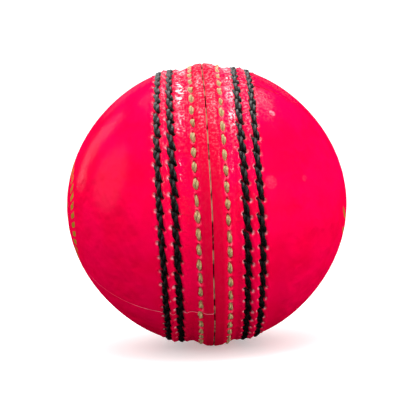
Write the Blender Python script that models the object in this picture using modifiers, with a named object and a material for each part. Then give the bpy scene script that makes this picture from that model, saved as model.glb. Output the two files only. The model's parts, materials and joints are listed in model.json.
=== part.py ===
"""A four-piece cricket ball, built in the order its maker works.

A cork nucleus is wound with worsted yarn and quilted with strips of cork. Two lined leather cups
close over it, each sewn from two quarters, and six rows of stitches run round where the cups meet.

Metres, +Z up. The origin is the ball's centre. The sewn seam lies in the YZ plane, so the seam
axis is X, and each cup has its pole on that axis. Latitudes are counted from the seam plane.
"""

import bmesh
import bpy
from math import cos, pi, radians, sin, tau
from mathutils import Matrix, Vector

MM = 0.001

# The cover
BALL_R = 35.7 * MM
COVER_THICK = 3.0 * MM
# Latitude in degrees, and the height there over a true sphere in millimetres: the raised lips, the
# troughs beside them, the swell between the outer rows, and the slightly drawn-out poles.
SWELLS = {
    "left": ((0, 0.60), (3, 0.50), (8.8, -0.55), (12, -0.1), (16.6, 0.30), (21, 0.0), (45, -0.2), (90, 0.3)),
    "right": ((0, 0.60), (3, 0.50), (8.4, -0.40), (11, -0.1), (15.2, 0.25), (20, 0.0), (45, -0.2), (90, 0.3)),
}
# Where each cup's quarter joint meets the seam, up from -Y, and how far it leans off the pole
JOINT_DEG = {"left": -43.6, "right": 53.2}
JOINT_LEAN_DEG = {"left": 8.8, "right": 5.7}

# The stitched rows: a hand-sewn ball's rows don't sit quite alike on its two cups
SIDES = {"left": -1, "right": 1}
STITCHES = 60
CLOSING_LAT = {"left": 5.5, "right": 5.4}
INNER_LAT = {"left": 13.8, "right": 12.3}
OUTER_LAT = {"left": 18.8, "right": 17.7}
TROUGH_LAT = 8.5
LIP_LAT = 2.2
CLOSING_THREAD_R = 0.50 * MM
SEAM_THREAD_R = 0.60 * MM
SEAM_LEAN = 0.60 * MM
STITCH_SHARE = 0.85
CHANNEL_DEPTH = 1.25 * MM
CHANNEL_FLOOR = 0.55
CLOSING_CHANNEL_HALF = 0.95 * MM
SEAM_CHANNEL_HALF = 1.40 * MM

# The hidden thread that joins two quarters edge to edge
JOINT_THREAD_R = 0.25 * MM
JOINT_THREAD_DEPTH = 2.7 * MM
JOINT_SWING = 0.35 * MM
JOINT_TUNNEL_R = 0.85 * MM
JOINT_STITCHES = 22
JOINT_END_DEG = 84.0

# The lining and the core, outwards from the middle
LINING_THICK = 0.9 * MM
NUCLEUS_R = 13.0 * MM
WINDING_1_R = 16.5 * MM
CORK_1_R = 19.4 * MM
WINDING_2_R = 23.3 * MM
CORK_2_R = 26.2 * MM
CORK_STRIPS = 4
CORK_STRIP_DEG = 82.0
CORK_END_DEG = 12.0
TUCK_DEG = 8.0

GAP = 0.3 * MM
COVER_GAP = 0.4 * MM
CORE_GAP = 0.5 * MM
COVER_IN = BALL_R - COVER_THICK
LINING_R = COVER_IN - COVER_GAP
LINING_IN = LINING_R - LINING_THICK
WINDING_3_R = LINING_IN - GAP

# How finely the turned shapes are cut
COVER_STEPS = 36
COVER_CROWN_STEPS = 8
COVER_INSIDE_STEPS = 8
CORE_STEPS = 16
CORE_RING_DEG = 22.5
CUTTER_SIZE = 100 * MM
MERGE = 0.00001


def clear_scene():
    for item in list(bpy.context.scene.objects):
        bpy.data.objects.remove(item, do_unlink=True)


def new_collection(name):
    collection = bpy.data.collections.new(name)
    bpy.context.scene.collection.children.link(collection)
    return collection


def make_material(name, colour, roughness):
    material = bpy.data.materials.new(name)
    material.use_nodes = True
    shader = material.node_tree.nodes["Principled BSDF"]
    shader.inputs["Base Color"].default_value = (*colour, 1.0)
    shader.inputs["Roughness"].default_value = roughness
    shader.inputs["Metallic"].default_value = 0.0
    return material


def place(name, data, collection, material=None, matrix=None):
    item = bpy.data.objects.new(name, data)
    collection.objects.link(item)
    if material:
        data.materials.append(material)
    if matrix:
        item.matrix_world = matrix
    return item


# Frames: a core frame or a cup frame has its own +Z along the seam axis


def cup_frame(side, joint_deg):
    """The cup's own frame: +Z out through its pole, +X where its quarter joint meets the seam."""
    joint = radians(joint_deg)
    pole = Vector((side, 0, 0))
    towards_joint = Vector((0, -cos(joint), sin(joint)))
    across = pole.cross(towards_joint)
    return Matrix((towards_joint, across, pole)).transposed().to_4x4()


# Turned shapes


def outline_mesh(name, points):
    """An open line of (distance from the axis, height) points, in the XZ plane."""
    mesh = bpy.data.meshes.new(name)
    edges = [(i, i + 1) for i in range(len(points) - 1)]
    mesh.from_pydata([(x, 0, z) for x, z in points], edges, [])
    return mesh


def turn(item, steps, angle_deg=360.0):
    screw = item.modifiers.new("Turn", "SCREW")
    screw.axis = "Z"
    screw.angle = radians(angle_deg)
    screw.steps = steps
    screw.render_steps = steps
    screw.use_merge_vertices = True
    screw.merge_threshold = MERGE
    screw.use_smooth_shade = True


def thicken(item, thickness):
    """Give an open turned surface its wall, inwards from the outer face."""
    wall = item.modifiers.new("Wall", "SOLIDIFY")
    wall.thickness = thickness
    wall.offset = -1.0


def polar(radius, angle_deg):
    """A point at this angle from the +Z pole."""
    return radius * sin(radians(angle_deg)), radius * cos(radians(angle_deg))


def arc(radius, first_deg, last_deg):
    """Points at the core's shared ring angles, from the first angle to the last."""
    rings = [TUCK_DEG, *(CORE_RING_DEG * i for i in range(1, CORE_STEPS // 2))]
    between = [a for a in rings if first_deg < a < last_deg]
    return [polar(radius, a) for a in (first_deg, *between, last_deg)]


def surface(cup, lat):
    """The cover's radius at this latitude, eased between the stations."""
    for (low, a), (high, b) in zip(SWELLS[cup], SWELLS[cup][1:]):
        if low <= lat <= high:
            share = (lat - low) / (high - low)
            height = a + (b - a) * (0.5 - 0.5 * cos(pi * share))
    return BALL_R + height * MM


def channel(cup, lat, half_width):
    """The (latitude, radius) corners of one stitch channel, from the pole side to the seam side."""
    edge = half_width / BALL_R * 180 / pi
    floor = edge * CHANNEL_FLOOR
    bottom = surface(cup, lat) - CHANNEL_DEPTH
    return [
        (lat + edge, surface(cup, lat + edge)),
        (lat + floor, bottom),
        (lat - floor, bottom),
        (lat - edge, surface(cup, lat - edge)),
    ]


def cup_outline(cup):
    """Down the outer side from the pole to the lip, then up the inner side to the axis again."""
    crown_end = OUTER_LAT[cup] + 4.0
    outside = []
    for i in range(COVER_CROWN_STEPS):
        lat = 90 - (90 - crown_end) * i / (COVER_CROWN_STEPS - 1)
        outside.append((lat, surface(cup, lat)))
    outside += channel(cup, OUTER_LAT[cup], SEAM_CHANNEL_HALF)
    outside += channel(cup, INNER_LAT[cup], SEAM_CHANNEL_HALF)
    outside += [(TROUGH_LAT, surface(cup, TROUGH_LAT))]
    outside += channel(cup, CLOSING_LAT[cup], CLOSING_CHANNEL_HALF)
    outside += [(LIP_LAT, surface(cup, LIP_LAT))]
    points = [(r * cos(radians(lat)), r * sin(radians(lat))) for lat, r in outside]
    points[0] = (0.0, points[0][1])
    points += [(surface(cup, 0), GAP / 2), (COVER_IN, GAP / 2)]
    for i in range(1, COVER_INSIDE_STEPS + 1):
        lat = 90 * i / COVER_INSIDE_STEPS
        points.append((COVER_IN * cos(radians(lat)), COVER_IN * sin(radians(lat))))
    points[-1] = (0.0, COVER_IN)
    return points


# Threads


def thread_curve(name, points, radius, closed, roundness=0):
    """A thread through (point, share of the radius) pairs: roundness 0 gives it four sides."""
    curve = bpy.data.curves.new(name, "CURVE")
    curve.dimensions = "3D"
    curve.bevel_depth = radius
    curve.bevel_resolution = roundness
    curve.use_fill_caps = not closed
    spline = curve.splines.new("POLY")
    spline.points.add(len(points) - 1)
    for corner, (point, share) in zip(spline.points, points):
        corner.co = (*point, 1.0)
        corner.radius = share
    spline.use_cyclic_u = closed
    return curve


def on_cover(side, lat, round_deg, radius):
    """A point on the ball: latitude on the left (-1) or right (+1) cup, and degrees up from -Y."""
    rise, turned = radians(lat), radians(round_deg)
    ring = radius * cos(rise)
    return Vector((side * radius * sin(rise), -ring * cos(turned), ring * sin(turned)))


def seam_row(cup, lat):
    """One outer row: each stitch arches over from its upper left hole to its lower right hole."""
    side = SIDES[cup]
    pitch = 360 / STITCHES
    lean = side * SEAM_LEAN / BALL_R * 180 / pi
    high = surface(cup, lat) - 0.25 * MM
    low = surface(cup, lat) - 0.50 * MM
    points = []
    for stitch in range(STITCHES):
        start = -stitch * pitch
        points.append((on_cover(side, lat - lean, start, low), 0.75))
        points.append((on_cover(side, lat, start - pitch * STITCH_SHARE / 2, high), 1.0))
        points.append((on_cover(side, lat + lean, start - pitch * STITCH_SHARE, low), 0.75))
    return points


def closing_row(cup):
    """One lip row: a bead over the leather at each stitch, drawn down at the hole between two."""
    side = SIDES[cup]
    lat = CLOSING_LAT[cup]
    pitch = 360 / STITCHES
    high = surface(cup, lat) - 0.10 * MM
    low = surface(cup, lat) - 0.50 * MM
    points = []
    for stitch in range(STITCHES):
        points.append((on_cover(side, lat, stitch * pitch, high), 1.0))
        points.append((on_cover(side, lat, (stitch + 0.5) * pitch, low), 0.7))
    return points


def joint_row(swing):
    """Along a quarter joint over the pole, in the cup's frame, crossing the joint at each stitch."""
    corners = 2 * JOINT_STITCHES
    points = []
    for i in range(corners + 1):
        angle = JOINT_END_DEG * (2 * i / corners - 1)
        x, z = polar(BALL_R - JOINT_THREAD_DEPTH, angle)
        points.append((Vector((x, swing if i % 2 else -swing, z)), 1.0))
    return points


# Cutters


def half_space_cutter(name, frame, keep, collection):
    """A block that removes the other quarter of a cup, up to half a gap past the joint."""
    block = bmesh.new()
    bmesh.ops.create_cube(block, size=CUTTER_SIZE)
    shift = Vector((0, -keep * (CUTTER_SIZE / 2 - GAP / 2), 0))
    bmesh.ops.translate(block, verts=block.verts, vec=shift)
    mesh = bpy.data.meshes.new(name)
    block.to_mesh(mesh)
    block.free()
    return as_cutter(place(name, mesh, collection, matrix=frame))


def tunnel_cutter(name, frame, collection):
    """The run of the hidden joint thread, as a mesh that can cut."""
    curve = thread_curve(name, joint_row(0.0), JOINT_TUNNEL_R, closed=False, roundness=2)
    route = place(name + "_route", curve, collection)
    bpy.context.view_layer.update()
    evaluated = route.evaluated_get(bpy.context.evaluated_depsgraph_get())
    mesh = bpy.data.meshes.new_from_object(evaluated)
    bpy.data.objects.remove(route, do_unlink=True)
    welded = bmesh.new()
    welded.from_mesh(mesh)
    bmesh.ops.remove_doubles(welded, verts=welded.verts, dist=MERGE)
    welded.to_mesh(mesh)
    welded.free()
    return as_cutter(place(name, mesh, collection, matrix=frame))


def as_cutter(item):
    item.hide_render = True
    item.display_type = "WIRE"
    return item


def cut(item, cutter):
    boolean = item.modifiers.new(cutter.name, "BOOLEAN")
    boolean.operation = "DIFFERENCE"
    boolean.solver = "EXACT"
    boolean.object = cutter


# The sub-parts


def make_core(ball, cork, yarn):
    """The nucleus, then yarn and cork by turns. Each winding leaves its thread's tuck hole."""
    frame = cup_frame(1, 0)
    bpy.ops.mesh.primitive_uv_sphere_add(
        segments=CORE_STEPS, ring_count=CORE_STEPS // 2, radius=NUCLEUS_R
    )
    nucleus = bpy.context.object
    nucleus.name = "cork_nucleus"
    nucleus.data.materials.append(cork)
    nucleus.data.shade_smooth()
    nucleus.matrix_world = frame
    for owner in list(nucleus.users_collection):
        owner.objects.unlink(nucleus)
    ball.objects.link(nucleus)
    windings = (
        ("inner_yarn_winding", WINDING_1_R, NUCLEUS_R),
        ("middle_yarn_winding", WINDING_2_R, CORK_1_R),
        ("outer_yarn_winding", WINDING_3_R, CORK_2_R),
    )
    for name, radius, below in windings:
        winding = place(name, outline_mesh(name, arc(radius, TUCK_DEG, 180)), ball, yarn, frame)
        turn(winding, CORE_STEPS)
        thicken(winding, radius - below - CORE_GAP)
    for layer, radius, below in (("inner", CORK_1_R, WINDING_1_R), ("outer", CORK_2_R, WINDING_2_R)):
        for strip in range(CORK_STRIPS):
            name = f"{layer}_cork_strip_{strip + 1}"
            line = outline_mesh(name, arc(radius, CORK_END_DEG, 180 - CORK_END_DEG))
            turned = Matrix.Rotation(strip * tau / CORK_STRIPS, 4, "Z")
            piece = place(name, line, ball, cork, frame @ turned)
            turn(piece, CORE_STEPS // CORK_STRIPS, CORK_STRIP_DEG)
            thicken(piece, radius - below - CORE_GAP)


def make_lining(name, frame, ball, leather):
    lip_deg = 90 - GAP / LINING_R * 180 / pi
    lining = place(name, outline_mesh(name, arc(LINING_R, 0, lip_deg)), ball, leather, frame)
    turn(lining, CORE_STEPS)
    thicken(lining, LINING_THICK)


def make_cup(cup, ball, cutters, leather, hidden_thread):
    """Two leather quarters and the hidden thread that joins them along the cup's middle."""
    frame = cup_frame(SIDES[cup], JOINT_DEG[cup])
    joint_frame = frame @ Matrix.Rotation(radians(JOINT_LEAN_DEG[cup]), 4, "X")
    tunnel = tunnel_cutter(f"{cup}_joint_tunnel", joint_frame, cutters)
    for place_name, keep in (("front", 1), ("back", -1)):
        name = f"{cup}_{place_name}_quarter"
        quarter = place(name, outline_mesh(name, cup_outline(cup)), ball, leather, frame)
        turn(quarter, COVER_STEPS)
        cut(quarter, half_space_cutter(f"{name}_cutter", joint_frame, keep, cutters))
        cut(quarter, tunnel)
    name = f"{cup}_quarter_joint_thread"
    curve = thread_curve(name, joint_row(JOINT_SWING), JOINT_THREAD_R, closed=False)
    place(name, curve, ball, hidden_thread, joint_frame)


def make_rows(cup, ball, seam_thread, closing_thread):
    for row, lat in (("outer", OUTER_LAT[cup]), ("inner", INNER_LAT[cup])):
        name = f"{cup}_{row}_seam_thread"
        place(name, thread_curve(name, seam_row(cup, lat), SEAM_THREAD_R, True), ball, seam_thread)
    name = f"{cup}_closing_thread"
    curve = thread_curve(name, closing_row(cup), CLOSING_THREAD_R, True)
    place(name, curve, ball, closing_thread)


def build():
    clear_scene()
    ball = new_collection("cricket_ball")
    cutters = new_collection("cutters")
    cork = make_material("cork", (0.42, 0.25, 0.13), 0.90)
    yarn = make_material("worsted_yarn", (0.72, 0.66, 0.54), 0.95)
    lining = make_material("lining_leather", (0.62, 0.45, 0.30), 0.80)
    leather = make_material("pink_leather", (0.95, 0.01, 0.10), 0.35)
    seam_thread = make_material("black_thread", (0.012, 0.012, 0.014), 0.55)
    closing_thread = make_material("tan_thread", (0.58, 0.42, 0.20), 0.70)
    hidden_thread = make_material("joint_thread", (0.80, 0.76, 0.68), 0.80)
    make_core(ball, cork, yarn)
    for cup, side in SIDES.items():
        make_lining(f"{cup}_cup_lining", cup_frame(side, 0), ball, lining)
        make_cup(cup, ball, cutters, leather, hidden_thread)
        make_rows(cup, ball, seam_thread, closing_thread)


build()
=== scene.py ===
# %% [markdown]
# # A hand-stitched cricket ball
# The ball stands with its seam upright. Its frame is already fixed: every solid piece has its size
# and place. This lesson dresses those pieces. It presses the leather over the core, sews the six
# rows of stitches, and mixes the lacquer, thread, cork and yarn. It works outwards from what the
# frame says, so nothing here is placed by eye where a measurement will do.

# %% Load the frame and measure it
import json
import math

import bpy
import numpy as np
from mathutils import Matrix, Vector, noise

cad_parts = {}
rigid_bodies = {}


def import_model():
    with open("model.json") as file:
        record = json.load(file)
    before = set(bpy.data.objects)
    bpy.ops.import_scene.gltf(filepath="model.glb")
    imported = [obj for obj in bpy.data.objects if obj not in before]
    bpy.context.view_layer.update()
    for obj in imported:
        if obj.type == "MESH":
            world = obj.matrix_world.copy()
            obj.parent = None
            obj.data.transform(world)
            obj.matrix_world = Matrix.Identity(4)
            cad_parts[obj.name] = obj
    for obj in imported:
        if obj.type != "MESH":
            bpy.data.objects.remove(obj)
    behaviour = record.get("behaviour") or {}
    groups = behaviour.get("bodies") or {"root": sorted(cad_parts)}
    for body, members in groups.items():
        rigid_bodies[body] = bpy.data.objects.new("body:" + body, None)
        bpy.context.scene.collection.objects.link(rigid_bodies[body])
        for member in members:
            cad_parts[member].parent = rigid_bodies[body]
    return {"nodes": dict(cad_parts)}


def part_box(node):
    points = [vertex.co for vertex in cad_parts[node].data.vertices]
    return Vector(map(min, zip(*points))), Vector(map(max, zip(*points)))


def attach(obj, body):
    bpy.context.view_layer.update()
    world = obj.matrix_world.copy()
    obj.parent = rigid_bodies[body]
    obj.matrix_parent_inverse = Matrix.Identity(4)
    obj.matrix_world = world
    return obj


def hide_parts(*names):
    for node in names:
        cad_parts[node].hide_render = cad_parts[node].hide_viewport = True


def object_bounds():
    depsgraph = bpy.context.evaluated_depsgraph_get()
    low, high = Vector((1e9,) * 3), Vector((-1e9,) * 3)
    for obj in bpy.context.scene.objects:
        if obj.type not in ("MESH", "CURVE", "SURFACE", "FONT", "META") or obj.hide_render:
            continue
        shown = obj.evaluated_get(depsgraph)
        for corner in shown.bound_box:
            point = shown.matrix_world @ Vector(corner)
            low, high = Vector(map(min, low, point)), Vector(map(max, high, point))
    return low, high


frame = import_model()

cad_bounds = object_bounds()
MM = 0.001
nodes = frame["nodes"]
print("pieces in the frame:", len(nodes))

# %% [markdown]
# ## Driving sizes
# A ball has few driving sizes: its radius, how far the lips stand up, how deep the troughs beside
# them are, and where each row of stitches runs. The rows' places come from the frame's own threads,
# so the sewn rows can't drift off the channels that were cut for them. Heights are given over a
# true sphere, at latitudes counted from the seam.

# %% Sizes
BALL_R = 35.7 * MM
HIDE_THICK = 3.0 * MM
STITCHES = 60
PITCH_DEG = 360 / STITCHES
CUPS = {"left": -1, "right": 1}
# where each cup's quarter joint meets the seam, up from the front, and how far it leans
JOINT_DEG = {"left": -43.6, "right": 53.2}
JOINT_LEAN_DEG = {"left": 8.8, "right": 5.7}

# latitude in degrees and height in millimetres: the lips, the troughs, the swells and the crown
CROWN = ((45, -0.2), (90, 0.3))
SWELLS = {
    "left": (
        (0, 0.62), (2.6, 0.50), (5.5, 0.0), (8.8, -0.62), (12, -0.20), (16.6, 0.34), (20.5, 0.02), *CROWN,
    ),
    "right": (
        (0, 0.62), (2.8, 0.50), (5.4, 0.05), (8.4, -0.42), (11, -0.10), (15.2, 0.28), (20, 0.0), *CROWN,
    ),
}


def row_arc(node):
    """How far a row runs from the seam plane, measured over the leather."""
    low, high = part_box(node)
    middle = abs(low[0] + high[0]) / 2
    return BALL_R * math.asin(middle / BALL_R)


print("the ball is", round(2 * BALL_R / MM, 1), "mm across before the lips are raised")

# %% [markdown]
# ## A plan for each row
# The rows are sewn by hand, so no two run quite alike. A row's plan holds where its stitches start,
# how far each one sways, how far the row strays, and how much each needle hole flares. The draws
# are seeded, so the same ball comes out every time.

# %% Plan the rows
# the angle, up from the front, at which one stitch of each row starts
PHASES = {
    "left_closing": 1.65, "left_inner": 4.3, "left_outer": 4.25,
    "right_closing": -0.1, "right_inner": 1.85, "right_outer": 1.65,
}
ROW_NODES = {
    "closing": "{}_closing_thread", "inner": "{}_inner_seam_thread", "outer": "{}_outer_seam_thread",
}
# how far a row strays from its line, in millimetres, over how many waves, and where it strays out
STRAYS = {
    "left_closing": (0.06, 5, 20), "left_inner": (0.15, 2, 45), "left_outer": (0.22, 3, 12),
    "right_closing": (0.08, 3, 85), "right_inner": (0.08, 3, -30), "right_outer": (0.20, 4, -20),
}
START_SPREAD_DEG = 0.22
SWAY_SPREAD_MM = 0.06
draw = np.random.default_rng(60)
flares = np.random.default_rng(61)
rows = {}
for cup, side in CUPS.items():
    for kind, pattern in ROW_NODES.items():
        starts = PHASES[f"{cup}_{kind}"] + PITCH_DEG * np.arange(STITCHES)
        starts = starts + draw.normal(0, START_SPREAD_DEG, STITCHES)
        sway = draw.normal(0, SWAY_SPREAD_MM, STITCHES) * MM
        rows[cup, kind] = {
            "side": side,
            "arc": row_arc(pattern.format(cup)),
            "starts": starts,
            "sway": sway,
            "stray": STRAYS[f"{cup}_{kind}"],
            "flare": flares.uniform(0, 1, (STITCHES, 2)),
        }
        print(cup, kind, "row runs", round(rows[cup, kind]["arc"] / MM, 2), "mm from the seam")

# %% [markdown]
# ## Selecting as by hand
# Operators act on whatever is selected, and the frame's own pieces start selected. So every step
# begins by dropping the selection and picking up just the one piece that it works on.

# %% Selection helpers


def pick(*items):
    """Select only these, with the first one active."""
    for item in bpy.context.scene.objects:
        item.select_set(False)
    for item in items:
        item.select_set(True)
    bpy.context.view_layer.objects.active = items[0]


def in_edit_mode(item, *steps):
    """Run operators on everything in a mesh, then come back."""
    pick(item)
    bpy.ops.object.mode_set(mode="EDIT")
    bpy.ops.mesh.select_all(action="SELECT")
    for step in steps:
        step()
    bpy.ops.object.mode_set(mode="OBJECT")


def points_of(mesh):
    flat = np.empty(len(mesh.vertices) * 3)
    mesh.vertices.foreach_get("co", flat)
    return flat.reshape(-1, 3)


def move_points(mesh, points):
    mesh.vertices.foreach_set("co", np.asarray(points, dtype=np.float32).ravel())
    mesh.update()


def paint(mesh, name, values):
    """Store one number for each point, for a material to read."""
    layer = mesh.attributes.get(name) or mesh.attributes.new(name, "FLOAT", "POINT")
    layer.data.foreach_set("value", np.asarray(values, dtype=np.float32))


print("selected when the frame has loaded:", len(bpy.context.selected_objects))

# %% [markdown]
# ## Places on the ball
# Everything on a ball is found by two angles. The latitude is counted from the seam to the pole, and
# the turn is counted up from the front, round the seam's axis. Small distances over the leather are
# easier in millimetres: across the row (left to right) and along it (upwards at the front).

# %% Places on the ball


TOP_TURN = 92
TOP_STRAY_DEG = 1.0
TOP_STRAY_OVER = 26


def near(value, target, width):
    """A soft bump of height 1 at the target."""
    return np.exp(-(((value - target) / width) ** 2))


def seam_stray(turn):
    """Degrees that the whole seam strays to the right: a hand-sewn seam isn't quite flat."""
    from_top = (turn - TOP_TURN + 180) % 360 - 180
    return TOP_STRAY_DEG * near(from_top, 0, TOP_STRAY_OVER)


def on_ball(side, latitude, turn, radius):
    """Points from degrees of latitude and turn, as an array. The seam's stray dies out by the pole."""
    held = np.cos(np.radians(latitude)) ** 2
    rise = np.radians(latitude + side * seam_stray(turn) * held)
    round_ = np.radians(turn)
    ring = radius * np.cos(rise)
    return np.stack([side * radius * np.sin(rise), -ring * np.cos(round_), ring * np.sin(round_)], axis=-1)


def place_of(points, side):
    """The reverse: latitude, turn and radius of each point."""
    radius = np.linalg.norm(points, axis=1)
    strayed = np.degrees(np.arcsin(np.clip(side * points[:, 0] / radius, -1, 1)))
    turn = np.degrees(np.arctan2(points[:, 2], -points[:, 1]))
    latitude = strayed - side * seam_stray(turn) * np.cos(np.radians(strayed)) ** 2
    return latitude, turn, radius


def row_line(row, turn):
    """How far over the leather a row runs from the seam, at this turn."""
    size, waves, peak = row["stray"]
    return row["arc"] + size * MM * np.cos(waves * np.radians(turn - peak))


def swell(cup, latitude):
    """Height over a true sphere, eased between the stations."""
    stations = SWELLS[cup]
    height = np.full(np.shape(latitude), stations[-1][1], dtype=float)
    for (low, a), (high, b) in zip(stations, stations[1:]):
        inside = (latitude >= low) & (latitude < high)
        share = (latitude - low) / (high - low)
        height = np.where(inside, a + (b - a) * (0.5 - 0.5 * np.cos(np.pi * share)), height)
    return np.where(latitude < 0, stations[0][1], height) * MM


LIP_OFFSET_MM = -0.25
LIP_WAVES = ((0.07, 3, 0.6), (0.05, 8, 2.0))


def wander(turn):
    """Where the two lips meet: a hand-closed seam strays a little from the middle."""
    waves = [size * np.sin(count * np.radians(turn) + phase) for size, count, phase in LIP_WAVES]
    return (LIP_OFFSET_MM + sum(waves)) * MM


print("at the top the seam strays", round(float(seam_stray(90.0)), 2), "degrees to the right")

# %% [markdown]
# ## How thread pulls leather about
# A tight stitch sinks into the leather, and the leather swells up beside it. Each needle hole is a
# small pit, with creases running out of it where the hide is drawn together. This could be painted
# as a bump, but it changes the ball's outline, so it's worked into the mesh.

# %% Where a stitch lies
# half of how far a black stitch leans across, and how much further its ends hook over
LEAN = 0.46 * MM
HOOK = 0.36 * MM
HOLE = LEAN + HOOK
# a black stitch's length as a share of the pitch, and half of a lip bead's length
STITCH_SHARE = 1.19
BEAD_HALF = 1.18 * MM
BEAD_SLANT = 0.06
FAR_MM = 9.0


def to_segment(x, y, ax, ay, bx, by):
    """Distance from points to a straight run from a to b."""
    dx, dy = bx - ax, by - ay
    share = np.clip(((x - ax) * dx + (y - ay) * dy) / (dx * dx + dy * dy), 0, 1)
    return np.hypot(x - ax - share * dx, y - ay - share * dy)


def stitch_offsets(row, latitude, turn):
    """Across and along distances to the starts of the stitches nearest to each point."""
    starts, sway = row["starts"], row["sway"]
    across = from_line(row, latitude, turn)
    ring = BALL_R * math.cos(row["arc"] / BALL_R)
    first = np.round((turn - starts[0]) / PITCH_DEG).astype(int)
    for step in (-1, 0, 1, 2):
        index = (first + step) % STITCHES
        behind = (turn - starts[index] + 180) % 360 - 180
        yield across - sway[index], ring * np.radians(behind), row["flare"][index]


def from_line(row, latitude, turn):
    """How far right of the row's middle line each point is."""
    return row["side"] * (BALL_R * np.radians(latitude) - row_line(row, turn))


def stitch_length(row):
    """A black stitch's length along its row."""
    return BALL_R * math.cos(row["arc"] / BALL_R) * math.radians(PITCH_DEG * STITCH_SHARE)


print("a black stitch is", round(stitch_length(rows["left", "inner"]) / MM, 2), "mm long")

# %% [markdown]
# ## The marks of a black row
# A black row is a chain of leaning stitches. Each one presses a groove with low shoulders, each end
# goes down a needle hole, and the lacquer cracks to a pale rim on the hole's outer side. A painted
# highlight lies on that pale rim, and painted shade darkens the groove and the holes. Every mark
# is a soft bump or dip over a distance, so the list gives each mark's height, the distance where it
# is highest, and its width, all in millimetres.

# %% Marks of the black rows
SEAM_MARKS = (
    ("thread", -0.46, 0, 0.66), ("thread", 0.10, 1.15, 0.30), ("line", -0.40, 0, 0.5),
    ("pit", -0.50, 0, 0.34), ("crease", -0.14, 0, 0.16), ("crease", 0.10, 0.34, 0.16),
)
# how far a crease runs on from the hole at a stitch's start and at its end: across and along
START_CREASE = (-0.62 * MM, 0.20 * MM)
END_CREASE = (0.50 * MM, -0.12 * MM)
# the pale rims: cracked lacquer with a painted highlight on it
RIM_MM = 0.36
RIM_WIDTH = 0.17
RIM_PALE = 1.25
RIM_UNEVEN = 0.12
# how much the rims at a stitch's start and end fade, which differs between the cups
RIM_FADE = {-1: (0.02, 0.15), 1: (0.0, 0.06)}


def heights(marks, distances):
    """The sum of a row's marks, in metres."""
    return MM * sum(size * near(distances[name], at, width) for name, size, at, width in marks)


def seam_relief(row, latitude, turn):
    """Height, paleness and depth of shade round a black row."""
    length = stitch_length(row)
    thread = pit = crease = streak = np.full(latitude.shape, FAR_MM)
    fade = RIM_FADE[row["side"]]
    for across, along, flare in stitch_offsets(row, latitude, turn):
        thread = np.minimum(thread, to_segment(across, along, -LEAN, 0, LEAN, -length) / MM)
        start = np.hypot(across + HOLE, along) / MM
        end = np.hypot(across - HOLE, along + length) / MM
        pit = np.minimum(pit, np.minimum(start, end))
        tip = (START_CREASE[0] - HOLE, START_CREASE[1])
        crease = np.minimum(crease, to_segment(across, along, -HOLE, 0, *tip) / MM)
        tip = (END_CREASE[0] + HOLE, END_CREASE[1] - length)
        crease = np.minimum(crease, to_segment(across, along, HOLE, -length, *tip) / MM)
        rims = ((start, across < -HOLE), (end, across > HOLE))
        for which, (distance, outside) in enumerate(rims):
            rim = np.abs(distance - RIM_MM) + np.where(outside, 0, FAR_MM)
            streak = np.minimum(streak, rim + fade[which] + RIM_UNEVEN * flare[..., which])
    line = from_line(row, latitude, turn) / MM
    height = heights(SEAM_MARKS, {"thread": thread, "line": line, "pit": pit, "crease": crease})
    # the pale rim: cracked lacquer, with a painted highlight where the raised rim would catch the light
    pale = RIM_PALE * near(streak, 0, RIM_WIDTH) * np.clip((thread - 0.40) / 0.2, 0, 1)
    # painted shade: the groove under each black stitch and its needle pits are darkened in the colour
    sunk_shade = near(thread, 0, 0.55) + near(pit, 0, 0.30)
    return height, pale, sunk_shade


print("each black stitch leaves", len(SEAM_MARKS), "marks")

# %% [markdown]
# ## The marks of a lip row
# A lip stitch shows only as a bead. The bead lies in a slot with a pit at each end, and between two
# beads the leather folds shut over the thread, with fine pulls running into the fold.

# %% Marks of the lip rows
LIP_MARKS = (
    ("line", -0.22, 0, 0.75), ("bead", -0.50, 0, 0.55), ("pit", -0.42, 0, 0.26),
    ("fold", 0.16, 0, 0.34), ("pull", 0.07, 0, 0.14),
)
BEAD_END = BEAD_HALF - 0.35 * MM
PIT_ALONG = BEAD_HALF + 0.10 * MM
PULL_START = (0.50 * MM, BEAD_HALF - 0.30 * MM)
PULL_END = 0.16 * MM
PULL_UNEVEN = 0.25
PULL_PALE = 0.4
FOLD_STRETCH = 1.5


def closing_relief(row, latitude, turn):
    """Height, paleness and depth of shade round a lip row."""
    bead = fold = pit = pull = np.full(latitude.shape, FAR_MM)
    gap = BALL_R * math.radians(PITCH_DEG) / 2
    for across, along, flare in stitch_offsets(row, latitude, turn):
        leaned = across + BEAD_SLANT * along
        reach = np.abs(along)
        bead = np.minimum(bead, to_segment(leaned, along, 0, BEAD_END, 0, -BEAD_END) / MM)
        fold = np.minimum(fold, np.hypot(leaned / FOLD_STRETCH, reach - gap) / MM)
        pit = np.minimum(pit, np.hypot(leaned, reach - PIT_ALONG) / MM)
        for which, flank in enumerate((-1, 1)):
            streak = to_segment(flank * leaned, reach, *PULL_START, PULL_END, gap) / MM
            pull = np.minimum(pull, streak + PULL_UNEVEN * flare[..., which])
    line = from_line(row, latitude, turn) / MM
    distances = {"line": line, "bead": bead, "pit": pit, "fold": fold, "pull": pull}
    pale = PULL_PALE * near(pull, 0, 0.14) * (pit > 0.2)
    # painted shade round each bead and in its pits
    sunk_shade = 0.8 * near(bead, 0, 0.50) + near(pit, 0, 0.22)
    return heights(LIP_MARKS, distances), pale, sunk_shade


print("each lip stitch leaves", len(LIP_MARKS), "marks")

# %% [markdown]
# ## Pressing the quarters
# A quarter is cut from flat hide and pressed over a former, so it starts here as a flat grid too.
# Its columns wrap round the seam's axis and its rows climb from the lip to the pole, close together
# near the stitching and wide apart on the plain crown. The wall is added while the hide is still
# smooth, so that only its outer face takes the marks of the needle.

# %% Press one quarter
COLUMNS = 480
FINE_ROWS = 76
CROWN_ROWS = 20
FINE_LATITUDE = 23.0
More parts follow.
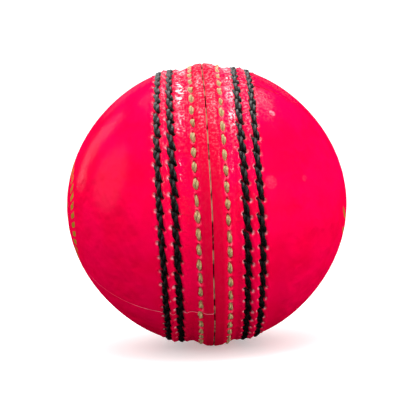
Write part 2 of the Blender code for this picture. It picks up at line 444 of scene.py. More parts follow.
# how fast the crown's rows widen towards the pole
CROWN_SPREAD = 1.6
LIP_GAP = 0.09 * MM
LIP_REACH = 3.0
JOINT_GAP = 0.05 * MM
# a joint leans more and more up to one latitude, then comes home to the pole
JOINT_FREE_TO = 64
JOINT_HOME_FROM = 60
JOINT_HOME_OVER = 28
# how many columns of the grid the joint line is wide
JOINT_MARK = {"left": 1, "right": 2}


def row_latitudes(cup, climb, turn):
    """The latitudes of grid rows that climb from 0 at the lip to 1 at the pole."""
    side = CUPS[cup]
    fine = FINE_ROWS / (FINE_ROWS + CROWN_ROWS)
    crown = np.clip((climb - fine) / (1 - fine), 0, 1)
    latitude = np.minimum(climb / fine, 1) * FINE_LATITUDE + (90 - FINE_LATITUDE) * crown**CROWN_SPREAD
    lip = np.degrees((side * wander(turn) + LIP_GAP / 2) / BALL_R)
    return latitude + lip * np.clip(1 - latitude / LIP_REACH, 0, 1)


def joint_lean(cup, latitude):
    """How far a quarter joint has leaned round by this latitude, in degrees: it meets the pole."""
    lean = math.radians(JOINT_LEAN_DEG[cup])
    free = np.radians(np.minimum(latitude, JOINT_FREE_TO))
    leaned = np.degrees(np.arctan(np.tan(lean) * np.tan(free)))
    home = np.clip((latitude - JOINT_HOME_FROM) / JOINT_HOME_OVER, 0, 1)
    return leaned * (1 - home**2 * (3 - 2 * home))


def press_quarter(cup, part, first_turn):
    """One quarter's smooth shell, from its lips to its pole."""
    side = CUPS[cup]
    widen = 1 if part == "front" else -1
    bpy.ops.mesh.primitive_grid_add(x_subdivisions=COLUMNS, y_subdivisions=FINE_ROWS + CROWN_ROWS, size=2)
    quarter = bpy.context.object
    quarter.name = f"{cup}_{part}_leather"
    flat = points_of(quarter.data)
    from_edge = (1 - np.abs(flat[:, 0])) * COLUMNS / 2
    paint(quarter.data, "joint", np.clip(JOINT_MARK[cup] - from_edge, 0, 1))
    turn = first_turn + 90 * (flat[:, 0] + 1)
    latitude = row_latitudes(cup, (flat[:, 1] + 1) / 2, turn)
    turn = turn + widen * joint_lean(cup, latitude) * flat[:, 0]
    move_points(quarter.data, on_ball(side, latitude, turn, BALL_R + swell(cup, latitude)))
    in_edit_mode(
        quarter,
        lambda: bpy.ops.mesh.remove_doubles(threshold=1e-7),
        lambda: bpy.ops.mesh.normals_make_consistent(inside=False),
    )
    if quarter.data.polygons[0].normal.dot(quarter.data.polygons[0].center) < 0:
        in_edit_mode(quarter, lambda: bpy.ops.mesh.flip_normals())
    wall = quarter.modifiers.new("Wall", "SOLIDIFY")
    wall.thickness = HIDE_THICK
    wall.offset = -1
    bpy.ops.object.modifier_apply(modifier=wall.name)
    return quarter


print("a quarter's grid has", COLUMNS, "columns and", FINE_ROWS + CROWN_ROWS, "rows")

# %% [markdown]
# ## Working the leather
# The outer face now takes its marks: the stitches' relief, the rounded lips, and the wrinkles that
# steam and hammering leave in the troughs. The same numbers are stored on the points, so that the
# finish can put its colour and gloss exactly where the shape changes.

# %% Creases and roughness
# how many waves each roughness has in a metre, and how high it stands in millimetres
RUMPLE = (260, 620)
CREASE_GRAIN = 1150
CROWN_GRAIN = 45
RUMPLE_HIGH = 0.05
CREASE_HIGH = 0.055
CROWN_HIGH = 0.05
# the depth and width of a lip's rounding, and the width of the bare edge, in millimetres
LIP_ROUND = (0.22, 0.22)
LIP_BARE = 0.15
# how far a row's marks reach, and the latitude by which the rumpling has died out
MARKS_REACH = 2.6 * MM
RUMPLE_TO = 24
RUMPLE_FADE = 4
# creased bands: how strongly, at what latitude and how wide; the first is the trough
CREASED = ((1.0, 9.5, 2.2), (0.24, 2.8, 1.7), (0.4, 16, 2.0))
# where the trough is worn flat: the turn, over how many degrees, and by what share
WORN_FLAT = {"left": (38.5, 3.5, 0.80), "right": (43, 7, 0.45)}
# one more wrinkled patch, on the right crown: how strongly, latitude and width, turn and width
PATCH = (0.40, (22.8, 3.4), (45, 9))
# the joint line shows from this latitude, and fades by a share past another
LINE_FROM = {"left": -4, "right": 13}
LINE_FADE = (0.6, 27, 12)


def rough_field(points, waves):
    """Smooth noise at each point, with this many waves in a metre."""
    return np.array([noise.noise(Vector(p) * waves) for p in points])


def creases(cup, latitude, turn):
    """How creased the hide is, from 0 to 1 and a little over."""
    bare_at, bare_over, bare = WORN_FLAT[cup]
    trough, *others = [size * near(latitude, at, width) for size, at, width in CREASED]
    creased = trough * (1 - bare * near(turn, bare_at, bare_over)) + sum(others)
    if cup == "right":
        size, up, round_ = PATCH
        creased += size * near(latitude, *up) * near(turn, *round_)
    return creased


print("creased bands:", len(CREASED))

# %% Work one quarter


def work_leather(quarter, cup, middle_turn):
    """Sink the stitches into the outer face, round the lip, and mark what the finish needs."""
    side = CUPS[cup]
    mesh = quarter.data
    points = points_of(mesh)
    latitude, turn, radius = place_of(points, side)
    outer = radius > BALL_R - HIDE_THICK / 2
    height = np.zeros(len(points))
    pale = np.zeros(len(points))
    sunk_shade = np.zeros(len(points))
    for kind, work in (("closing", closing_relief), ("inner", seam_relief), ("outer", seam_relief)):
        row = rows[cup, kind]
        close = outer & (np.abs(BALL_R * np.radians(latitude) - row["arc"]) < MARKS_REACH)
        rise, light, deep = work(row, latitude[close], turn[close])
        height[close] += rise
        pale[close] += light
        sunk_shade[close] += deep
    lip = (side * wander(turn) + LIP_GAP / 2) / MM
    from_lip = BALL_R * np.radians(latitude) / MM - lip
    height -= LIP_ROUND[0] * MM * near(from_lip, 0, LIP_ROUND[1]) * outer
    seam_zone = np.clip((RUMPLE_TO - latitude) / RUMPLE_FADE, 0, 1)
    rumple = rough_field(points, RUMPLE[0]) + 0.5 * rough_field(points, RUMPLE[1])
    creased = creases(cup, latitude, turn)
    fine = rough_field(points, CREASE_GRAIN)
    height += MM * seam_zone * (RUMPLE_HIGH * rumple + CREASE_HIGH * creased * fine) * outer
    height += MM * CROWN_HIGH * rough_field(points, CROWN_GRAIN) * outer
    points = points * (1 + np.where(outer, height, 0) / radius)[:, None]
    push = on_ball(side, 0.0, middle_turn, JOINT_GAP / 2)
    move_points(mesh, points + push)
    paint(mesh, "pale", np.clip(pale, 0, 1))
    paint(mesh, "sunk_shade", np.clip(sunk_shade, 0, 1))
    paint(mesh, "lip", np.where(outer, near(from_lip, 0, LIP_BARE), 1.0) * (latitude < 6))
    paint(mesh, "ridge", np.clip((5.0 - latitude) / 2.0, 0, 1))
    paint(mesh, "creased", np.clip(creased, 0, 1))
    fade, fade_from, fade_over = LINE_FADE
    shown = np.clip((latitude - LINE_FROM[cup]) / 4, 0, 1)
    paint(mesh, "line", shown * (1 - fade * np.clip((latitude - fade_from) / fade_over, 0, 1)))
    mesh.shade_smooth()
    print(quarter.name, "is worked over", int(outer.sum()), "points")

# %% Press and work all four
leathers = {}
for cup in CUPS:
    first = JOINT_DEG[cup] if cup == "left" else JOINT_DEG[cup] - 180
    for part, start in (("front", first), ("back", first + 180)):
        quarter = press_quarter(cup, part, start)
        work_leather(quarter, cup, start + 90)
        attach(quarter, "root")
        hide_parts(f"{cup}_{part}_quarter")
        leathers[cup, part] = quarter
        print(quarter.name, "has", len(quarter.data.polygons), "faces")

# %% [markdown]
# ## Twisted thread
# Seam thread is three strands laid up together, and the grooves between them are what makes a stitch
# look like thread. One strand is drawn up from a small circle, ring by ring. Each stitch then takes
# three copies of it, wound round each other along the stitch's path, so every stitch is its own.

# %% One straight strand
STRAND_SIDES = 6
STRAND_RINGS = 8
STRANDS = 3


def draw_strand():
    """A closed tube of radius 1 from height 0 to height 1."""
    bpy.ops.mesh.primitive_circle_add(vertices=STRAND_SIDES, radius=1, fill_type="NGON")
    strand = bpy.context.object
    pick(strand)
    bpy.ops.object.mode_set(mode="EDIT")
    bpy.ops.mesh.select_all(action="SELECT")
    for _ in range(STRAND_RINGS):
        bpy.ops.mesh.extrude_region_move(TRANSFORM_OT_translate={"value": (0, 0, 1 / STRAND_RINGS)})
    bpy.ops.mesh.select_all(action="SELECT")
    bpy.ops.mesh.normals_make_consistent(inside=False)
    bpy.ops.object.mode_set(mode="OBJECT")
    points = points_of(strand.data)
    faces = [tuple(face.vertices) for face in strand.data.polygons]
    bpy.data.objects.remove(strand, do_unlink=True)
    return points, faces


strand_points, strand_faces = draw_strand()
print("one strand has", len(strand_faces), "faces")

# %% [markdown]
# ## Laying the stitches
# A black stitch comes up through its upper left hole, leans over the leather and goes down through
# its lower right hole, where the next one starts. A lip stitch shows as a short bead, fat in the
# middle and drawn to a point at both ends. Both are the same laid thread on a different path.

# %% Plan a stitch
# radius and heights in millimetres, the share that the ends taper by, how sharply they dip, the
# turns that the strands make, and the spread of the girths
SEAM_THREAD = {
    "radius": 0.90, "taper": 0.30, "top": -0.48, "dip": 0.62, "sharp": 0.24, "turns": 0.60, "spread": 0.05,
}
BEAD_THREAD = {
    "radius": 0.66, "taper": 0.70, "top": -0.30, "dip": 0.75, "sharp": 0.55, "turns": 0.40, "spread": 0.10,
}
TAPER_POWER = 0.7
# strands are a little fatter than would just touch, so they press into each other
STRAND_PRESS = 1.07
HOOK_POWER = 7
BEAD_BURIED = 0.25 * MM
FULLNESS_SPREAD = 0.12
FULLNESS_RANGE = (0.78, 1.18)
LAY_SEED = 7


def stitch_path(row, start, sway, kind, share, fullness):
    """Across and turn of a stitch's middle line, for shares from 0 to 1 of its length."""
    if kind == "closing":
        half = BEAD_HALF * fullness + BEAD_BURIED
        along = half * (1 - 2 * share)
        across = sway - BEAD_SLANT * along
    else:
        along = -stitch_length(row) * share
        swing = 2 * share - 1
        across = sway + LEAN * swing + HOOK * swing**HOOK_POWER
    ring = BALL_R * math.cos(row["arc"] / BALL_R)
    return across, start + np.degrees(along / ring)


def twist_strands(middle, up, wide, girth, first_angle, turns):
    """The points of three strands that wind round a middle line."""
    share = strand_points[:, 2]
    corner = np.arctan2(strand_points[:, 1], strand_points[:, 0])
    filled = np.hypot(strand_points[:, 0], strand_points[:, 1])
    strand_r = girth / (1 + 2 / math.sqrt(3)) * STRAND_PRESS
    for strand in range(STRANDS):
        angle = first_angle + math.tau * (strand / STRANDS + turns * share)
        spin = corner + angle
        high = (girth - strand_r) * np.cos(angle) + strand_r * filled * np.cos(spin)
        aside = (girth - strand_r) * np.sin(angle) + strand_r * filled * np.sin(spin)
        yield middle + high[:, None] * up + aside[:, None] * wide, np.cos(corner) + 2 * strand


print("a black stitch swings", round(2 * HOLE / MM, 2), "mm across")

# %% [markdown]
# ## Laying the rows
# A row is one piece: sixty stitches, each with its own start, sway and girth, because no hand sews
# two alike. How far along and how far round its strand each point lies is stored on the points, and
# the thread's fibres are drawn from those two numbers.

# %% Lay the rows


def stitch_frame(cup, row, thread, turn, across, share):
    """A stitch's middle line, and the directions up and aside from it."""
    side = row["side"]
    latitude = np.degrees((row_line(row, turn) + side * across) / BALL_R)
    hump = np.sin(np.pi * share) ** thread["sharp"]
    depth = MM * (thread["top"] - thread["dip"] * (1 - hump))
    middle_r = BALL_R + swell(cup, latitude) + depth
    middle = on_ball(side, latitude, turn, middle_r)
    up = middle / np.linalg.norm(middle, axis=1)[:, None]
    wide = np.cross(on_ball(side, latitude, turn - 1, middle_r) - middle, up)
    return middle, up, wide / np.linalg.norm(wide, axis=1)[:, None]


def lay_row(cup, kind):
    """A whole row of stitches, as one piece."""
    row = rows[cup, kind]
    thread = BEAD_THREAD if kind == "closing" else SEAM_THREAD
    share = strand_points[:, 2]
    narrow = 1 - thread["taper"] * (1 - np.sin(np.pi * share) ** TAPER_POWER)
    lay = np.random.default_rng(len(kind) + LAY_SEED + row["side"])
    points, faces, alongs, arounds = [], [], [], []
    for stitch in range(STITCHES):
        first_angle = lay.uniform(0, math.tau)
        girth = MM * thread["radius"] * lay.normal(1, thread["spread"]) * narrow
        fullness = np.clip(lay.normal(1, FULLNESS_SPREAD), *FULLNESS_RANGE)
        start, sway = row["starts"][stitch], row["sway"][stitch]
        across, turn = stitch_path(row, start, sway, kind, share, fullness)
        middle, up, wide = stitch_frame(cup, row, thread, turn, across, share)
        for tube, around in twist_strands(middle, up, wide, girth, first_angle, thread["turns"]):
            first = len(points) * len(share)
            points.append(tube)
            faces += [tuple(first + v for v in face) for face in strand_faces]
            alongs.append(share + stitch)
            arounds.append(around)
    mesh = bpy.data.meshes.new(f"{cup}_{kind}_stitches")
    mesh.from_pydata(np.concatenate(points), [], faces)
    paint(mesh, "along", np.concatenate(alongs))
    paint(mesh, "around", np.concatenate(arounds))
    piece = bpy.data.objects.new(mesh.name, mesh)
    bpy.context.scene.collection.objects.link(piece)
    in_edit_mode(piece, lambda: bpy.ops.mesh.normals_make_consistent(inside=False))
    mesh.shade_smooth()
    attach(piece, "root")
    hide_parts(ROW_NODES[kind].format(cup))
    "tan_thread" if kind == "closing" else "black_thread"
    return piece


stitch_rows = {key: lay_row(*key) for key in rows}
print("rows sewn:", len(stitch_rows))

# %% [markdown]
# ## Writing a finish as sums
# A finish is a tree of nodes, but most of it is arithmetic: this much dye, less where the thread
# bites. A small class lets that be written as plain sums on sockets. Colours are never sent through
# plain maths, because that would turn them grey, so they are mixed instead.

# %% Colours


def dye(red, green, blue):
    """A colour named by its 0 to 255 values, as the light that it sends back."""
    light = []
    for value in (red, green, blue):
        share = value / 255
        light.append(share / 12.92 if share <= 0.04045 else ((share + 0.055) / 1.055) ** 2.4)
    return (*light, 1.0)


print("mid grey sends back", round(dye(128, 128, 128)[0], 3), "of the light")

# %% Wires


class Wire:
    """One output of a node. Sums on wires become nodes."""

    def __init__(self, socket):
        self.socket = socket

    @staticmethod
    def node(tree, kind, settings=None, inputs=None, output=0):
        """Any node: its settings first, then the values or links of its sockets."""
        made = tree.nodes.new(kind)
        for name, value in (settings or {}).items():
            setattr(made, name, value)
        for name, value in (inputs or {}).items():
            if isinstance(value, Wire):
                tree.links.new(value.socket, made.inputs[name])
            else:
                made.inputs[name].default_value = value
        return Wire(made.outputs[output])

    def math(self, operation, other=0.0, clamp=False):
        settings = {"operation": operation, "use_clamp": clamp}
        return Wire.node(self.socket.id_data, "ShaderNodeMath", settings, {0: self, 1: other})

    def __add__(self, other):
        return self.math("ADD", other)

    def __mul__(self, other):
        return self.math("MULTIPLY", other)

    def __sub__(self, other):
        return self.math("SUBTRACT", other)

    def __rsub__(self, other):
        settings = {"operation": "SUBTRACT"}
        return Wire.node(self.socket.id_data, "ShaderNodeMath", settings, {0: other, 1: self})

    __radd__ = __add__
    __rmul__ = __mul__

    def band(self, low, high, soft):
        """1 between two values, fading out over a soft edge."""
        rising = self.step(low - soft, low + soft)
        return rising * (1 - self.step(high - soft, high + soft))

    def step(self, low, high):
        """0 below the low value and 1 above the high one."""
        inputs = {"Value": self, "From Min": low, "From Max": high}
        settings = {"interpolation_type": "SMOOTHSTEP"}
        return Wire.node(self.socket.id_data, "ShaderNodeMapRange", settings, inputs)

    def distance(self, point):
        """How far this place is from a fixed point."""
        settings = {"operation": "DISTANCE"}
        inputs = {0: self, 1: tuple(map(float, point))}
        return Wire.node(self.socket.id_data, "ShaderNodeVectorMath", settings, inputs, output="Value")

    def tint(self, below, above):
        """A colour: the first where this wire is 0, the second where it is 1."""
        settings = {"data_type": "RGBA", "blend_type": "MIX"}
        inputs = {"Factor": self.math("ADD", 0.0, clamp=True), 6: below, 7: above}
        return Wire.node(self.socket.id_data, "ShaderNodeMix", settings, inputs, output=2)


print("a wire's methods:", sum(callable(value) for value in vars(Wire).values()))

# %% Parts of a finish


def new_finish(name):
    """An empty material, its tree and its shader."""
    material = bpy.data.materials.new(name)
    material.use_nodes = True
    return material, material.node_tree, material.node_tree.nodes["Principled BSDF"]


def feed(tree, shader, **sockets):
    """Set or link the shader's sockets, named with _ for a space."""
    for name, value in sockets.items():
        socket = shader.inputs[name.replace("_", " ")]
        if isinstance(value, Wire):
            tree.links.new(value.socket, socket)
        else:
            socket.default_value = value


def place_wire(tree):
    """The point on the piece, in metres."""
    return Wire.node(tree, "ShaderNodeTexCoord", output="Object")


def mark(tree, name):
    """One of the numbers painted on the points."""
    return Wire.node(tree, "ShaderNodeAttribute", {"attribute_name": name}, output="Fac")


def grain(tree, where, scale, detail=3.0, rough=0.6):
    """Cloudy noise from about 0 to 1, with this many waves in a metre."""
    inputs = {"Vector": where, "Scale": scale, "Detail": detail, "Roughness": rough}
    return Wire.node(tree, "ShaderNodeTexNoise", None, inputs)


def split(tree, where):
    """The three numbers of a place."""
    first = Wire.node(tree, "ShaderNodeSeparateXYZ", None, {0: where})
    return [Wire(output) for output in first.socket.node.outputs]


def raised(tree, height, depth, below=None):
    """A bump of this depth in metres, on top of another if one is given."""
    inputs = {"Height": height, "Distance": depth}
    if below is not None:
        inputs["Normal"] = below
    return Wire.node(tree, "ShaderNodeBump", None, inputs)


def dress(piece, material):
    """Give a piece one finish."""
    piece.data.materials.clear()
    piece.data.materials.append(material)


print("materials before dressing:", len(bpy.data.materials))

# %% [markdown]
# ## Worn foil round the poles
# A ball's crowns are stamped with foil. Here it is only plain rings of worn dashes and dots, which
# say nothing. They are drawn by two angles: how far a place is from the pole, and the turn round it.

# %% Foil rings
FOIL = dye(146, 128, 30)
# degrees from the pole, half their height, how many, how full, and how far they slant
LEFT_DASHES = {"at": 21.6, "half": 1.9, "count": 36, "filled": 0.55, "slant": 0.10}
LEFT_DOTS = {"at": 11.5, "half": 1.3, "count": 14, "filled": 0.34}
RIGHT_DASHES = {"at": 20.0, "half": 2.6, "count": 16, "filled": 0.34, "shift": 0.345, "slant": 0.118}
RIGHT_DOTS = {"at": 9.5, "half": 0.6, "count": 24, "filled": 0.4}
# the right dashes keep to one half of the ring, given as shares of a full turn
RIGHT_ARC = (0.02, 0.48, 0.004)


def pole_angles(tree, where, side):
    """Degrees from the cup's pole, and the turn round it as a share of a full turn."""
    x, y, z = split(tree, where)
    length = Wire.node(tree, "ShaderNodeVectorMath", {"operation": "LENGTH"}, {0: where}, output="Value")
    away = (x * side).math("DIVIDE", length).math("ARCCOSINE") * math.degrees(1)
    turn = z.math("ARCTAN2", y * -1.0) * (1 / math.tau) + 0.5
    return away, turn


def foil_ring(away, turn, at, half, count, filled, shift=0.0, slant=0.0):
    """A ring of marks round the pole, from 0 to 1."""
    cell = (turn * count + shift - (away - at) * slant).math("FRACT")
    return away.band(at - half, at + half, 0.18) * cell.band(0.5 - filled / 2, 0.5 + filled / 2, 0.06)


def foil_marks(tree, where, cup, away, turn):
    """Where foil is left on this cup."""
    if cup == "left":
        foil = foil_ring(away, turn, **LEFT_DASHES) + foil_ring(away, turn, **LEFT_DOTS)
    else:
        foil = foil_ring(away, turn, **RIGHT_DASHES) * turn.band(*RIGHT_ARC)
        foil = foil + foil_ring(away, turn, **RIGHT_DOTS)
    return foil.math("ADD", 0.0, clamp=True) * grain(tree, where, 900, 4.0).step(0.34, 0.50)


print("foil dashes on the left cup:", LEFT_DASHES["count"])

# %% [markdown]
# ## Scuffed spots and a painted glint
# The crown of a used ball has a few soft pale spots where it has hit something hard, and one small
# bright spot on the right crown is a painted highlight, a round glint. Each is drawn in the finish by
# the distance from one point, because the crown's mesh is too coarse to hold it.

# %% Scuffed spots and a painted glint
# latitude, turn, radius in millimetres, and how pale
SCUFFS_AND_GLINT = {
    "left": ((58, 22, 3.0, 0.05),),
    "right": (
        # this first right spot is a painted highlight, a small round glint; the rest are scuffed spots
        (25.2, 39.1, 0.85, 0.55), (21.9, 7.4, 1.6, 0.07), (37.3, 10.0, 0.8, 0.04), (22.4, 44.0, 2.4, 0.09),
    ),
}


def scuffs(where, cup):
    """How pale the scuffed spots and the painted glint make each place: a soft patch with a brighter rim.
    """
    worn = 0.0
    for latitude, turn, radius, strength in SCUFFS_AND_GLINT[cup]:
        away = where.distance(on_ball(CUPS[cup], latitude, turn, BALL_R)) * (1 / (radius * MM))
        worn += ((1 - away.step(0.4, 1.1)) * 0.6 + away.band(0.7, 0.9, 0.15) * 0.4) * strength
    return worn


print("scuffs:", {cup: len(spots) for cup, spots in SCUFFS_AND_GLINT.items()})

# %% [markdown]
# ## The colour of lacquered pink leather
# The hide is dyed and then lacquered, and it isn't even. The dye is redder on the ridge, and painted
# shade darkens it where thread bites. The lacquer is pale where it has cracked at a needle hole, and a
# painted highlight lies on that pale rim. Painted white highlight specks stand in the creases on the
# upper side, pale painted highlight specks lie on the ridge's top, and bare hide shows at the cut
# lips. The left quarter joint is a pale hairline and the right one a dark line.

# %% Leather colour
NEON = dye(255, 0, 73)
DEEP = dye(244, 0, 60)
RIDGE_RED = dye(210, 0, 46)
SHADE = dye(90, 0, 16)
# a pale pink for cracked and scuffed lacquer, also used to paint highlights
PALE_CRACK_AND_GLINT = dye(255, 196, 208)
# white for painted highlight specks
GLINT_WHITE = dye(255, 238, 242)
BARE_HIDE = dye(206, 160, 132)
SEAM_DARK = dye(44, 16, 14)
# the colour of a joint's line, and the joint mark at which it starts
JOINT_LINES = {"left": (dye(255, 140, 160), 0.35), "right": (dye(52, 0, 12), 0.1)}
FINE_GRAIN = 1700


def leather_colour(tree, where, cup, cloudy, flecks):
    """Dye, lacquer and bare hide, with painted shade where thread sinks and some painted highlights."""
    ridge, creased = mark(tree, "ridge"), mark(tree, "creased")
    height = split(tree, where)[2]
    colour = cloudy.step(0.35, 0.65).tint(DEEP, NEON)
    colour = (ridge * (0.55 + cloudy * 0.5)).tint(colour, RIDGE_RED)
    # painted shade: darker where the thread sinks and in the needle pits
    colour = (mark(tree, "sunk_shade").step(0.25, 1.0) * 0.85).tint(colour, SHADE)
    speck = grain(tree, where, 1500, 2.0).step(0.45, 0.62)
    colour = (ridge * speck * 0.008).tint(colour, PALE_CRACK_AND_GLINT)
    # pale rims at the needle holes are cracked lacquer with a painted highlight; the pale pulls between
    # beads too
    colour = (mark(tree, "pale") * (0.68 + speck * 0.32)).tint(colour, PALE_CRACK_AND_GLINT)
    # painted highlight: pale specks on the ridge, on the upper part of the ball only
    ridge_top_glint = grain(tree, where, FINE_GRAIN).step(0.52, 0.62) * height.step(0.002, 0.032)
    colour = (ridge * ridge_top_glint * 0.20).tint(colour, PALE_CRACK_AND_GLINT)
    # painted highlight: white specks in the creases, on the upper side only
    colour = (creased * flecks * height.step(0.010, 0.024) * 0.24).tint(colour, GLINT_WHITE)
    scratchy = grain(tree, where, 1300, 4.0, 0.7).step(0.40, 0.60)
    # pale scuffed spots, and one painted highlight on the right crown
    colour = (scuffs(where, cup) * (0.3 + scratchy)).tint(colour, PALE_CRACK_AND_GLINT)

    line_colour, line_from = JOINT_LINES[cup]
    on_line = mark(tree, "joint").step(line_from, 1.0) * mark(tree, "line")
    broken = grain(tree, where, 420, 2.0).step(0.36, 0.56)
    colour = (on_line * (0.40 + 0.50 * broken)).tint(colour, line_colour)

    patches = grain(tree, where, 380, 2.0).step(0.42, 0.58)
    lip = mark(tree, "lip").step(0.45, 0.8)
    return lip.tint(colour, patches.tint(SEAM_DARK, BARE_HIDE))


print("joint lines:", list(JOINT_LINES))

# %% [markdown]
# ## The gloss of lacquered leather
# The skin is slightly wavy on the crown and finely grained all over. In the creased troughs the
# lacquer crackles: small facets catch the light one by one, so a thin hard coat is laid there over
# a softer base, fleck by fleck. A bump is enough for marks as fine as these.

# %% Leather finish


def leather_normal(tree, where, creased, crackle, away):
    """Bumps from the broadest to the finest. The broad one keeps to the crown."""
    wrinkles = Wire.node(
        tree, "ShaderNodeTexVoronoi", {"feature": "DISTANCE_TO_EDGE"}, {"Vector": where, "Scale": 900.0}
    )
    uneven = grain(tree, where, 190, 2.0) * (1 - away.step(60, 68))
    normal = raised(tree, uneven, 0.0009)
    normal = raised(tree, grain(tree, where, 700, 4.0), 0.00006, below=normal)
    normal = raised(tree, grain(tree, where, 2600, 2.0), 0.00003, below=normal)
    normal = raised(tree, wrinkles.step(0.0, 0.35) * creased, 0.00002, below=normal)
    return raised(tree, crackle * creased, 0.00022, below=normal)


def leather_finish(cup):
    material, tree, shader = new_finish(f"{cup}_lacquered_leather")
    where = place_wire(tree)
    away, turn = pole_angles(tree, where, CUPS[cup])
    creased, cloudy = mark(tree, "creased"), grain(tree, where, 90)
    crackle = grain(tree, where, FINE_GRAIN, 3.0, 0.65)
    thick = 0.25 + grain(tree, where, 300, 2.0).step(0.40, 0.56) * 0.75
    flecks = crackle.step(0.495, 0.535) * thick
    foil = foil_marks(tree, where, cup, away, turn)
    rough = 0.36 + cloudy * 0.08 + mark(tree, "sunk_shade") * 0.2 + foil * 0.2 - creased * 0.06
    feed(
        tree, shader,
        Base_Color=foil.tint(leather_colour(tree, where, cup, cloudy, flecks), FOIL),
        Roughness=rough, Metallic=foil * 0.08, Specular_IOR_Level=0.0,
        Normal=leather_normal(tree, where, creased, crackle, away),
        Coat_Weight=(0.02 + creased * flecks * 0.9) * (1 - foil), Coat_Roughness=0.16,
    )
    print(material.name, "uses", len(tree.nodes), "nodes")
    return material


finishes = {cup: leather_finish(cup) for cup in CUPS}
for (cup, part), quarter in leathers.items():
    dress(quarter, finishes[cup])

# %% [markdown]
# ## Waxed thread
# The black thread is waxed: charcoal, with a grey sheen along the tops of the strands. The tan
# thread is drier and duller. Fibres run along each strand, so their fine lines are drawn from the
# strand's own length and girth rather than from the ball.

# %% Thread finish


def thread_finish(name, dark, light, rough, sheen):
    """Fibres along each strand, with a little fluff over them."""
    material, tree, shader = new_finish(name)
    where = place_wire(tree)
    around, along = mark(tree, "around"), mark(tree, "along")
    lines = Wire.node(tree, "ShaderNodeCombineXYZ", None, {0: around * 5.0, 1: along * 7.0, 2: 0.0})
    fibres = grain(tree, lines, 1.6, 4.0, 0.7)
    fluff = grain(tree, where, 1800, 3.0)
    colour = (fibres.step(0.42, 0.66) * 0.8 + fluff * 0.2).tint(dark, light)
    normal = raised(tree, fibres, 0.00016)
    normal = raised(tree, fluff, 0.00004, below=normal)
    feed(tree, shader, Base_Color=colour, Roughness=rough + fluff * 0.15, Normal=normal)
    feed(tree, shader, Sheen_Weight=sheen, Sheen_Roughness=0.5, Specular_IOR_Level=0.15)
    return material


black_thread = thread_finish("waxed_black_thread", dye(2, 2, 3), dye(34, 34, 34), 0.36, 0.0)
tan_thread = thread_finish("tan_linen_thread", dye(170, 136, 84), dye(228, 202, 146), 0.55, 0.1)
for (cup, kind), piece in stitch_rows.items():
    dress(piece, tan_thread if kind == "closing" else black_thread)
print("threads dressed:", len(stitch_rows))

# %% [markdown]
# ## What the cover hides
# Cork, yarn, lining and the hidden joint threads stay as the frame made them, since nobody sees
# them until the ball is cut open. Each still gets its own finish: granules pressed into cork, yarn
# wound in every direction, and the suede back of a thin lining.

# %% Hidden finishes


def cork_finish():
    """Granules of many browns, pressed edge to edge."""
    material, tree, shader = new_finish("pressed_cork")
    where = place_wire(tree)
    granules = {"Vector": where, "Scale": 700.0}
    cells = Wire.node(tree, "ShaderNodeTexVoronoi", None, granules, output="Color")
    granule = Wire.node(tree, "ShaderNodeSeparateColor", None, {0: cells})
    edges = Wire.node(tree, "ShaderNodeTexVoronoi", {"feature": "DISTANCE_TO_EDGE"}, granules)
    colour = granule.tint(dye(128, 84, 50), dye(196, 150, 100))
    colour = (1 - edges.step(0.0, 0.06)).tint(colour, dye(78, 48, 28))
    normal = raised(tree, edges.step(0.0, 0.12) + grain(tree, where, 2400) * 0.4, 0.00012)
    feed(tree, shader, Base_Color=colour, Roughness=0.85, Normal=normal)
    return material


def yarn_finish():
    """Yarn laid in three directions, the highest strand showing at each place."""
    material, tree, shader = new_finish("wound_worsted")
    where = place_wire(tree)
    height = None
    for turned in ((0.0, 0.0, 0.0), (0.9, 0.4, 0.2), (0.3, 1.2, 0.8)):
        laid = Wire.node(tree, "ShaderNodeMapping", None, {"Vector": where, "Rotation": turned})
        warp = {"Vector": laid, "Scale": 160.0, "Distortion": 1.5, "Detail": 2.0}
        strands = Wire.node(tree, "ShaderNodeTexWave", None, warp, output="Fac")
        height = strands if height is None else height.math("MAXIMUM", strands)
    colour = height.step(0.5, 1.0).tint(dye(150, 134, 104), dye(226, 216, 190))
    normal = raised(tree, height + grain(tree, where, 3000) * 0.2, 0.00030)
    feed(tree, shader, Base_Color=colour, Roughness=0.9, Normal=normal, Sheen_Weight=0.3)
    return material


def suede_finish(name, dark, light):
    """A soft nap of one fine noise."""
    material, tree, shader = new_finish(name)
    where = place_wire(tree)
    nap = grain(tree, where, 1400, 5.0, 0.7)
    feed(tree, shader, Base_Color=nap.step(0.3, 0.7).tint(dark, light), Roughness=0.88)
    feed(tree, shader, Normal=raised(tree, nap, 0.00010), Sheen_Weight=0.2)
    return material


hidden = {
    "cork": cork_finish(),
    "yarn_winding": yarn_finish(),
    "cup_lining": suede_finish("suede_lining", dye(140, 100, 70), dye(186, 146, 108)),
    "joint_thread": suede_finish("hidden_joint_thread", dye(186, 176, 150), dye(230, 222, 200)),
}
for name, node in nodes.items():
    for word, material in hidden.items():
        if word in name:
            dress(node, material)
            print(name, "takes", material.name)

# %% [markdown]
# ## Floor, light and camera
# The ball stands on a pale floor, which glows a little and is hidden from the ball's reflections.
# So it reads as a plain white sweep and throws no glare on the leather. The camera looks level, from
# a little left of the seam, and leans so that the seam tips to the left.

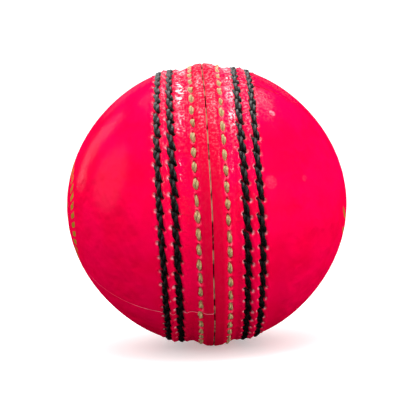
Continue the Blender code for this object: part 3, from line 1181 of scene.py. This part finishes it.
# %% Floor
BALL_BOTTOM = cad_bounds[0][2]
FLOOR_R = 3.0
FLOOR_GLOW = 0.35
bpy.ops.mesh.primitive_circle_add(
    vertices=96, radius=FLOOR_R, fill_type="TRIFAN", location=(0, 0, BALL_BOTTOM)
)
floor = bpy.context.object
floor.name = "pale_floor"
material, tree, shader = new_finish("pale_floor")
paper = grain(tree, place_wire(tree), 40)
feed(tree, shader, Base_Color=paper.tint(dye(240, 240, 240), dye(246, 246, 246)))
feed(tree, shader, Roughness=0.9, Specular_IOR_Level=0.0)
feed(tree, shader, Emission_Color=(1.0, 1.0, 1.0, 1.0), Emission_Strength=FLOOR_GLOW)
dress(floor, material)
floor.visible_diffuse = False
floor.visible_glossy = False
floor.visible_shadow = False
print("the floor lies", round(BALL_BOTTOM / MM, 2), "mm from the ball's middle")

# %% Camera
LEVEL_TURN = math.radians(-1.95)
LEAN_OVER = math.radians(2.75)
DISTANCE = 6 * 35.8 * MM
LENS = 74.2
SENSOR = 36
NEAREST = 0.01
SHIFT = (-0.01725, 0.01125)

back = Vector((math.sin(LEVEL_TURN), -math.cos(LEVEL_TURN), 0))
flat_right = Vector((math.cos(LEVEL_TURN), math.sin(LEVEL_TURN), 0))
flat_up = Vector((0, 0, 1))
right = flat_right * math.cos(LEAN_OVER) - flat_up * math.sin(LEAN_OVER)
up = flat_right * math.sin(LEAN_OVER) + flat_up * math.cos(LEAN_OVER)
lens = bpy.data.cameras.new("camera")
lens.lens = LENS
lens.sensor_width = SENSOR
lens.clip_start = NEAREST
lens.shift_x, lens.shift_y = SHIFT
camera = bpy.data.objects.new("camera", lens)
bpy.context.scene.collection.objects.link(camera)
turned = Matrix((right, up, back)).transposed().to_4x4()
camera.matrix_world = Matrix.Translation(back * DISTANCE) @ turned
bpy.context.scene.camera = camera
print("the camera stands", round(DISTANCE / MM), "mm away")

# %% [markdown]
# ## Soft studio light
# Two kinds of lamp share the work. Glint lamps show only in the gloss, as the soft bright shapes on
# the crown and the sparkle in the troughs. Wash lamps only fill in the colour. So the gloss and the
# evenness of the pink can be set one at a time. The room is bright above and dim below, so that the
# underside falls into shade.

# %% Lights


BALL_MIDDLE = Vector((0, 0, 0))
# each lamp's place and size in metres, its power in watts, and its height if it isn't square
GLINTS = {
    "left_strip": ((-0.39, 0.29, 0.24), 0.13, 2.0, 0.34),
    "left_window": ((-0.50, -0.02, 0.16), 0.28, 2.4, 0.36),
    "overhead_panel": ((0.0, 0.0, 0.49), 0.56, 17.0, None),
    "front_panel": ((0.25, -0.34, 0.24), 0.16, 1.2, None),
    "top_rim": ((0.0, 0.50, 0.30), 0.60, 1.2, 0.2),
}
WASHES = {
    "overhead": ((0.03, -0.20, 0.50), 0.22, 1.0, None),
    "right_fill": ((0.45, -0.40, -0.02), 0.40, 1.0, None),
}


def soft_light(name, place, size, power, tall):
    """An area lamp that faces the ball: a square, or an ellipse if it is tall."""
    lamp = bpy.data.lights.new(name, "AREA")
    lamp.energy = power
    lamp.size = size
    if tall:
        lamp.shape = "ELLIPSE"
        lamp.size_y = tall
    item = bpy.data.objects.new(name, lamp)
    bpy.context.scene.collection.objects.link(item)
    item.location = place
    item.rotation_euler = (BALL_MIDDLE - Vector(place)).to_track_quat("-Z", "Y").to_euler()
    return item


for name, settings in GLINTS.items():
    soft_light(name, *settings).visible_diffuse = False
for name, settings in WASHES.items():
    soft_light(name, *settings).visible_glossy = False
print("lamps:", len(GLINTS) + len(WASHES))

# %% The room
ROOM_BRIGHT = 1.35
ROOM_DIM = 0.11
world = bpy.data.worlds.new("studio")
bpy.context.scene.world = world
world.use_nodes = True
room = world.node_tree
height = split(room, Wire.node(room, "ShaderNodeTexCoord", output="Generated"))[2]
strength = height.step(-0.45, 0.02) * (ROOM_BRIGHT - ROOM_DIM) + ROOM_DIM
room.links.new(strength.socket, room.nodes["Background"].inputs["Strength"])
room.nodes["Background"].inputs["Color"].default_value = (1.0, 1.0, 1.0, 1.0)
world.cycles_visibility.glossy = False
bpy.context.scene.view_settings.view_transform = "Standard"
print("the room's light runs from", ROOM_DIM, "below to", ROOM_BRIGHT, "above")

# %% [markdown]
# ## The frame's box
# The frame's box was measured as the frame loaded, and the floor lies at its lowest point.
